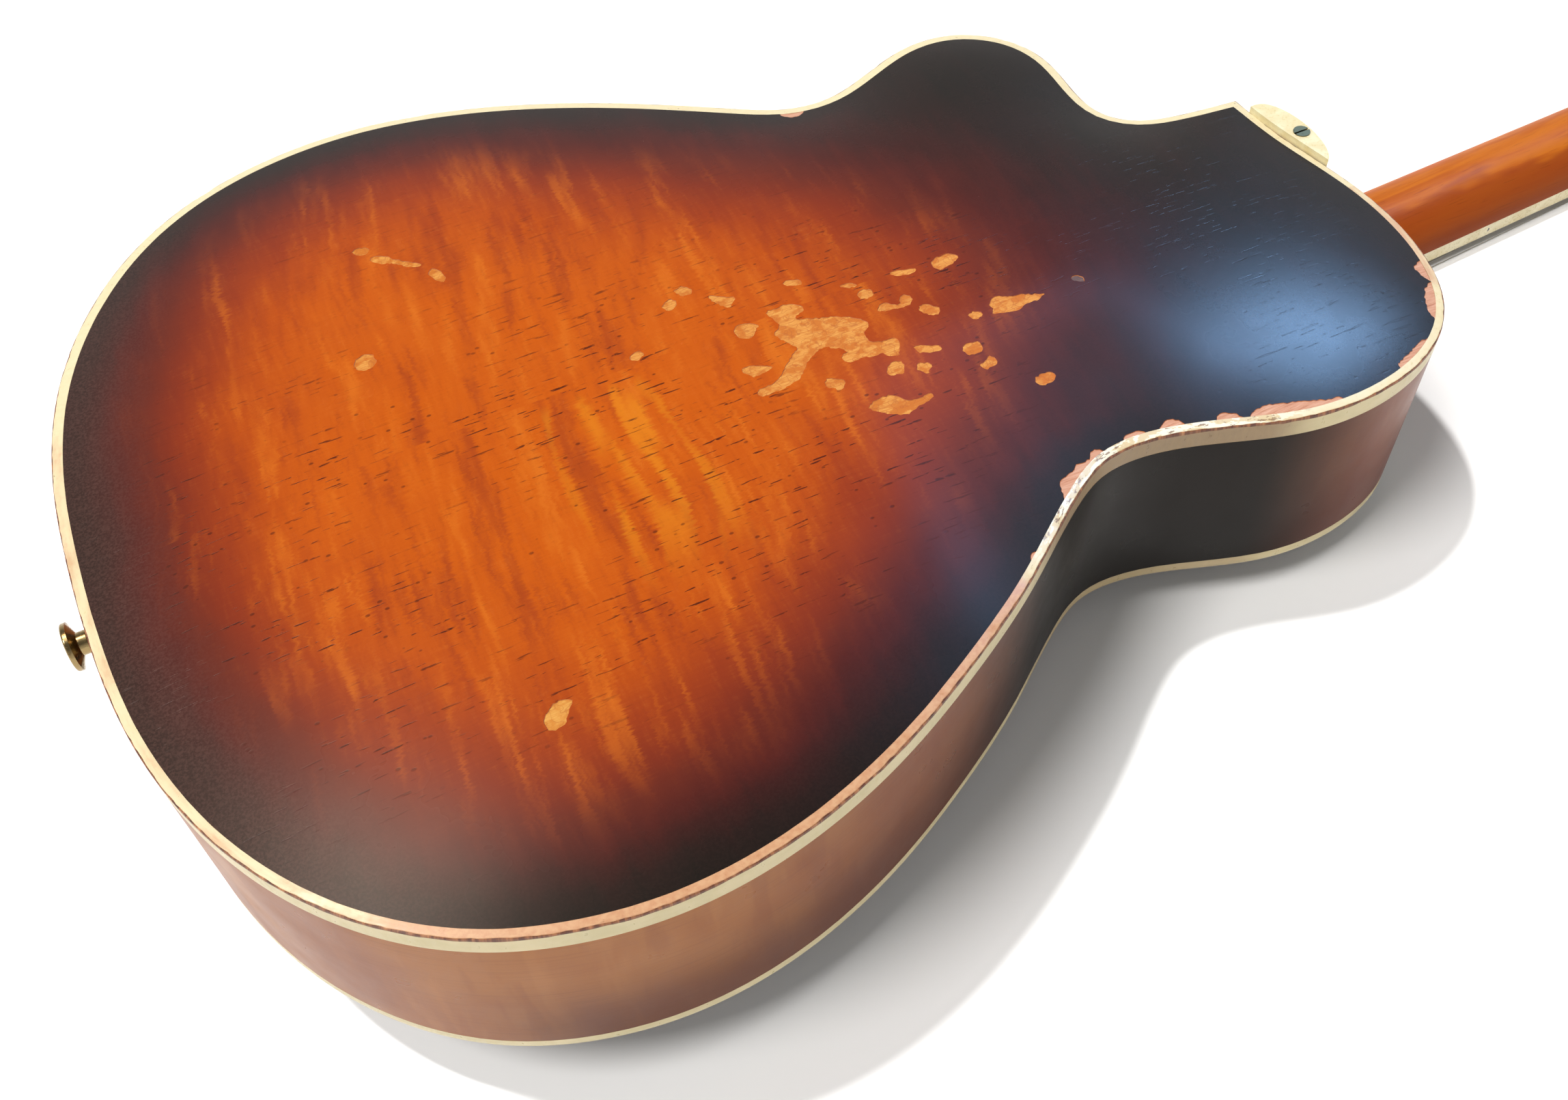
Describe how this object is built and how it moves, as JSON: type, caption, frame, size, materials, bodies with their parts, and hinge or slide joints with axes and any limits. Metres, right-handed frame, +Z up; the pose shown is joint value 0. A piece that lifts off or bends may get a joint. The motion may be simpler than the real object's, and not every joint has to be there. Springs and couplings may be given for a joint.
{
  "type": "bouzouki",
  "caption": "Guitar-bodied bouzouki: bound, cutaway hollow body with arched back, long fretted neck, worm tuners, floating bridge and trapeze tailpiece.",
  "frame": {"origin": "centre of the bounding-box footprint, on the surface that the instrument lies on face down", "axes": "+X along the instrument from the tail towards the head, +Y towards the cutaway side, +Z up, out of the back"},
  "size_m": [0.9704, 0.3302, 0.1077],
  "materials": {
    "back_finish": "matt-satin dark sunburst lacquer over flamed wood, worn through in small chips",
    "rib_finish": "gloss dark red-brown lacquer",
    "top_finish": "gloss sunburst lacquer over spruce",
    "binding": "aged cream celluloid, tan stained and scuffed",
    "spruce": "bare wood",
    "mahogany": "bare wood",
    "neck_finish": "gloss red-orange lacquer over mahogany",
    "rosewood": "oiled dark wood",
    "ebony": "polished black wood",
    "bone": "polished bone",
    "pearl": "pearl inlay",
    "fretwire": "polished nickel silver",
    "nickel": "worn nickel plate",
    "steel": "bright steel",
    "brass": "polished brass",
    "string_steel": "plain steel and bronze-wound wire",
    "cap_plastic": "aged cream plastic",
    "black_plastic": "black gloss plastic",
    "button_plastic": "pearly cream plastic",
    "felt": "black felt"
  },
  "bodies": {
    "instrument": {"back_plate": "back_finish", "top_plate": "top_finish", "ribs": "rib_finish", "back_binding": "binding", "top_binding": "binding", "back_lining": "mahogany", "top_lining": "mahogany", "neck_block": "mahogany", "tail_block": "mahogany", "back_braces": "spruce", "tone_bars": "spruce", "neck": "neck_finish", "truss_rod": "steel", "fingerboard": "rosewood", "fingerboard_binding": "binding", "frets": "fretwire", "fret_markers": "pearl", "side_dots": "black_plastic", "nut": "bone", "fingerboard_support": "mahogany", "heel_cap": "cap_plastic", "heel_cap_screw": "steel", "strap_button": "nickel", "strap_button_screw": "steel", "strap_button_felt": "felt", "tailpiece_bracket": "nickel", "tailpiece_screws": "nickel", "tailpiece_hinge_pin": "steel", "tailpiece": "nickel", "strings_course_1": "string_steel", "strings_course_2": "string_steel", "strings_course_3": "string_steel", "strings_course_4": "string_steel", "bridge_foot": "ebony", "bridge_saddle": "ebony", "bridge_studs": "brass", "bridge_thumbwheels": "brass", "head_veneer": "black_plastic", "tuner_bushings": "nickel", "truss_rod_cover": "black_plastic", "truss_cover_screws": "steel", "tuner_plate_bass": "nickel", "tuner_plate_treble": "nickel", "tuner_plate_screws": "steel"},
    "button_1": {"tuner_button_1": "button_plastic"},
    "post_1": {"tuner_post_1": "nickel"},
    "button_2": {"tuner_button_2": "button_plastic"},
    "post_2": {"tuner_post_2": "nickel"},
    "button_3": {"tuner_button_3": "button_plastic"},
    "post_3": {"tuner_post_3": "nickel"},
    "button_4": {"tuner_button_4": "button_plastic"},
    "post_4": {"tuner_post_4": "nickel"},
    "button_5": {"tuner_button_5": "button_plastic"},
    "post_5": {"tuner_post_5": "nickel"},
    "button_6": {"tuner_button_6": "button_plastic"},
    "post_6": {"tuner_post_6": "nickel"},
    "button_7": {"tuner_button_7": "button_plastic"},
    "post_7": {"tuner_post_7": "nickel"},
    "button_8": {"tuner_button_8": "button_plastic"},
    "post_8": {"tuner_post_8": "nickel"}
  },
  "joints": [
    {"name": "tuner_button_1_turn", "type": "hinge", "parent": "instrument", "child": "button_1", "pos_m": [0.36647, -0.017, 0.03642], "axis": [0, 1, 0], "continuous": true},
    {"name": "tuner_post_1_turn", "type": "hinge", "parent": "instrument", "child": "post_1", "pos_m": [0.35751, -0.017, 0.03457], "axis": [-0.2021, 0, 0.9794], "continuous": true},
    {"name": "tuner_button_2_turn", "type": "hinge", "parent": "instrument", "child": "button_2", "pos_m": [0.39389, -0.017, 0.04208], "axis": [0, 1, 0], "continuous": true},
    {"name": "tuner_post_2_turn", "type": "hinge", "parent": "instrument", "child": "post_2", "pos_m": [0.38493, -0.017, 0.04023], "axis": [-0.2021, 0, 0.9794], "continuous": true},
    {"name": "tuner_button_3_turn", "type": "hinge", "parent": "instrument", "child": "button_3", "pos_m": [0.42132, -0.017, 0.04774], "axis": [0, 1, 0], "continuous": true},
    {"name": "tuner_post_3_turn", "type": "hinge", "parent": "instrument", "child": "post_3", "pos_m": [0.41236, -0.017, 0.04589], "axis": [-0.2021, 0, 0.9794], "continuous": true},
    {"name": "tuner_button_4_turn", "type": "hinge", "parent": "instrument", "child": "button_4", "pos_m": [0.44874, -0.017, 0.0534], "axis": [0, 1, 0], "continuous": true},
    {"name": "tuner_post_4_turn", "type": "hinge", "parent": "instrument", "child": "post_4", "pos_m": [0.43978, -0.017, 0.05155], "axis": [-0.2021, 0, 0.9794], "continuous": true},
    {"name": "tuner_button_5_turn", "type": "hinge", "parent": "instrument", "child": "button_5", "pos_m": [0.36647, 0.017, 0.03642], "axis": [0, 1, 0], "continuous": true},
    {"name": "tuner_post_5_turn", "type": "hinge", "parent": "instrument", "child": "post_5", "pos_m": [0.35751, 0.017, 0.03457], "axis": [-0.2021, 0, 0.9794], "continuous": true},
    {"name": "tuner_button_6_turn", "type": "hinge", "parent": "instrument", "child": "button_6", "pos_m": [0.39389, 0.017, 0.04208], "axis": [0, 1, 0], "continuous": true},
    {"name": "tuner_post_6_turn", "type": "hinge", "parent": "instrument", "child": "post_6", "pos_m": [0.38493, 0.017, 0.04023], "axis": [-0.2021, 0, 0.9794], "continuous": true},
    {"name": "tuner_button_7_turn", "type": "hinge", "parent": "instrument", "child": "button_7", "pos_m": [0.42132, 0.017, 0.04774], "axis": [0, 1, 0], "continuous": true},
    {"name": "tuner_post_7_turn", "type": "hinge", "parent": "instrument", "child": "post_7", "pos_m": [0.41236, 0.017, 0.04589], "axis": [-0.2021, 0, 0.9794], "continuous": true},
    {"name": "tuner_button_8_turn", "type": "hinge", "parent": "instrument", "child": "button_8", "pos_m": [0.44874, 0.017, 0.0534], "axis": [0, 1, 0], "continuous": true},
    {"name": "tuner_post_8_turn", "type": "hinge", "parent": "instrument", "child": "post_8", "pos_m": [0.43978, 0.017, 0.05155], "axis": [-0.2021, 0, 0.9794], "continuous": true}
  ],
  "couplings": [
    {"joint": "tuner_post_1_turn", "follows": "tuner_button_1_turn", "ratio": -0.071429},
    {"joint": "tuner_post_2_turn", "follows": "tuner_button_2_turn", "ratio": -0.071429},
    {"joint": "tuner_post_3_turn", "follows": "tuner_button_3_turn", "ratio": -0.071429},
    {"joint": "tuner_post_4_turn", "follows": "tuner_button_4_turn", "ratio": -0.071429},
    {"joint": "tuner_post_5_turn", "follows": "tuner_button_5_turn", "ratio": -0.071429},
    {"joint": "tuner_post_6_turn", "follows": "tuner_button_6_turn", "ratio": -0.071429},
    {"joint": "tuner_post_7_turn", "follows": "tuner_button_7_turn", "ratio": -0.071429},
    {"joint": "tuner_post_8_turn", "follows": "tuner_button_8_turn", "ratio": -0.071429}
  ]
}
